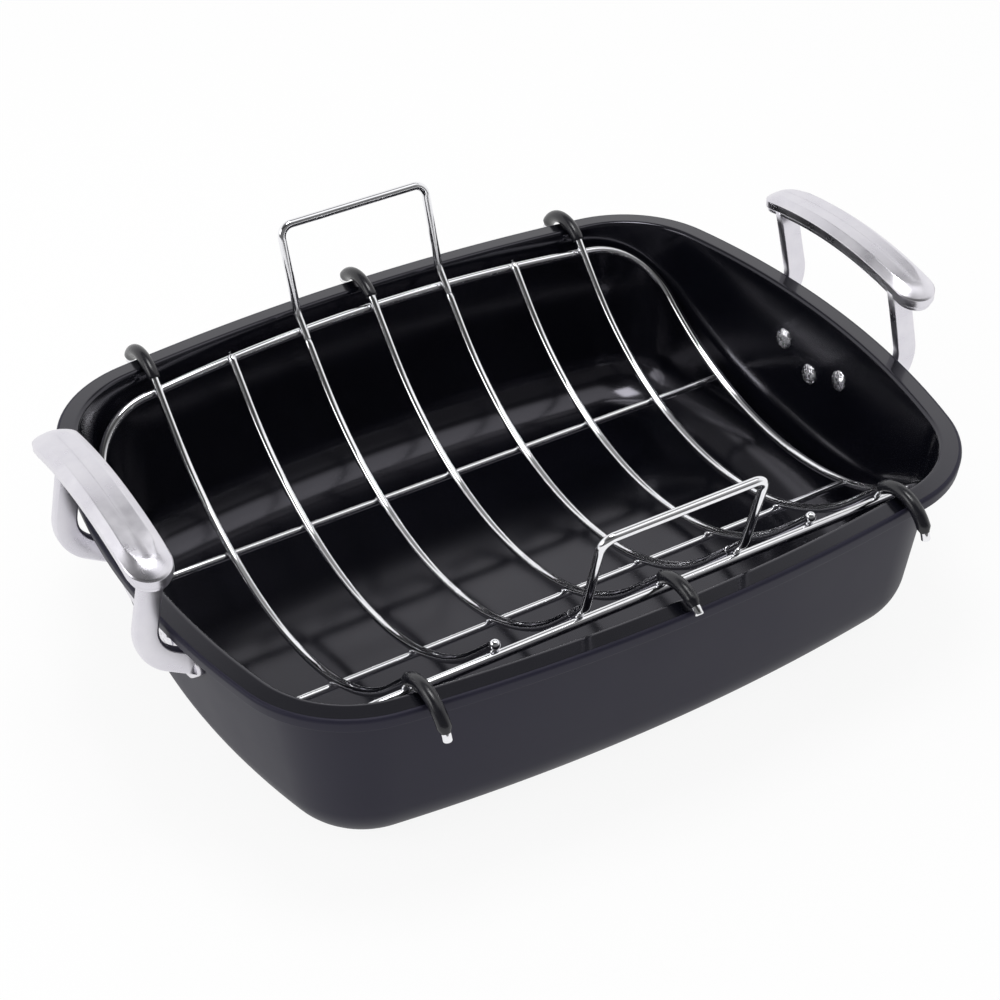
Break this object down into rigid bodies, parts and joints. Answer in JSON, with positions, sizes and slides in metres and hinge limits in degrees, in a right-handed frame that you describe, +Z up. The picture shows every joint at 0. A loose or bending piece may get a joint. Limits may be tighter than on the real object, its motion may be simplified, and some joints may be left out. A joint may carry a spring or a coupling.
{
  "type": "roasting pan with rack",
  "caption": "Rectangular roasting pan with bowed sides, arched riveted end handles and a lift-out wire cradle rack whose sleeved hooks hang over the rim.",
  "frame": {"origin": "middle of the pan's flat underside, on the surface that it stands on", "axes": "+X along the long side towards the right handle, +Y to the rear rim, +Z up"},
  "size_m": [0.4334, 0.3403, 0.1549],
  "materials": {
    "pan_coating": "satin charcoal outside, glossy black non-stick inside",
    "handle_metal": "satin cast metal",
    "rivet_metal": "satin",
    "chromed_wire": "bright plated",
    "sleeve_vinyl": "satin black"
  },
  "bodies": {
    "pan": {"pan_body": "pan_coating", "handle_left": "handle_metal", "handle_right": "handle_metal", "rivets_left": "rivet_metal", "rivets_right": "rivet_metal"},
    "rack": {"cradle_wire_1": "chromed_wire", "cradle_wire_2": "chromed_wire", "cradle_wire_3": "chromed_wire", "cradle_wire_4": "chromed_wire", "cradle_wire_5": "chromed_wire", "cradle_wire_6": "chromed_wire", "cradle_wire_7": "chromed_wire", "sleeve_front_left": "sleeve_vinyl", "sleeve_front_middle": "sleeve_vinyl", "sleeve_front_right": "sleeve_vinyl", "sleeve_rear_left": "sleeve_vinyl", "sleeve_rear_middle": "sleeve_vinyl", "sleeve_rear_right": "sleeve_vinyl", "perimeter_wire": "chromed_wire", "long_wire_front": "chromed_wire", "long_wire_rear": "chromed_wire", "lift_handle_front": "chromed_wire", "lift_handle_rear": "chromed_wire"}
  },
  "joints": [
    {"name": "rack_lift", "type": "slide", "parent": "pan", "child": "rack", "axis": [0, 0, 1], "range_m": [0, 0.1]}
  ]
}
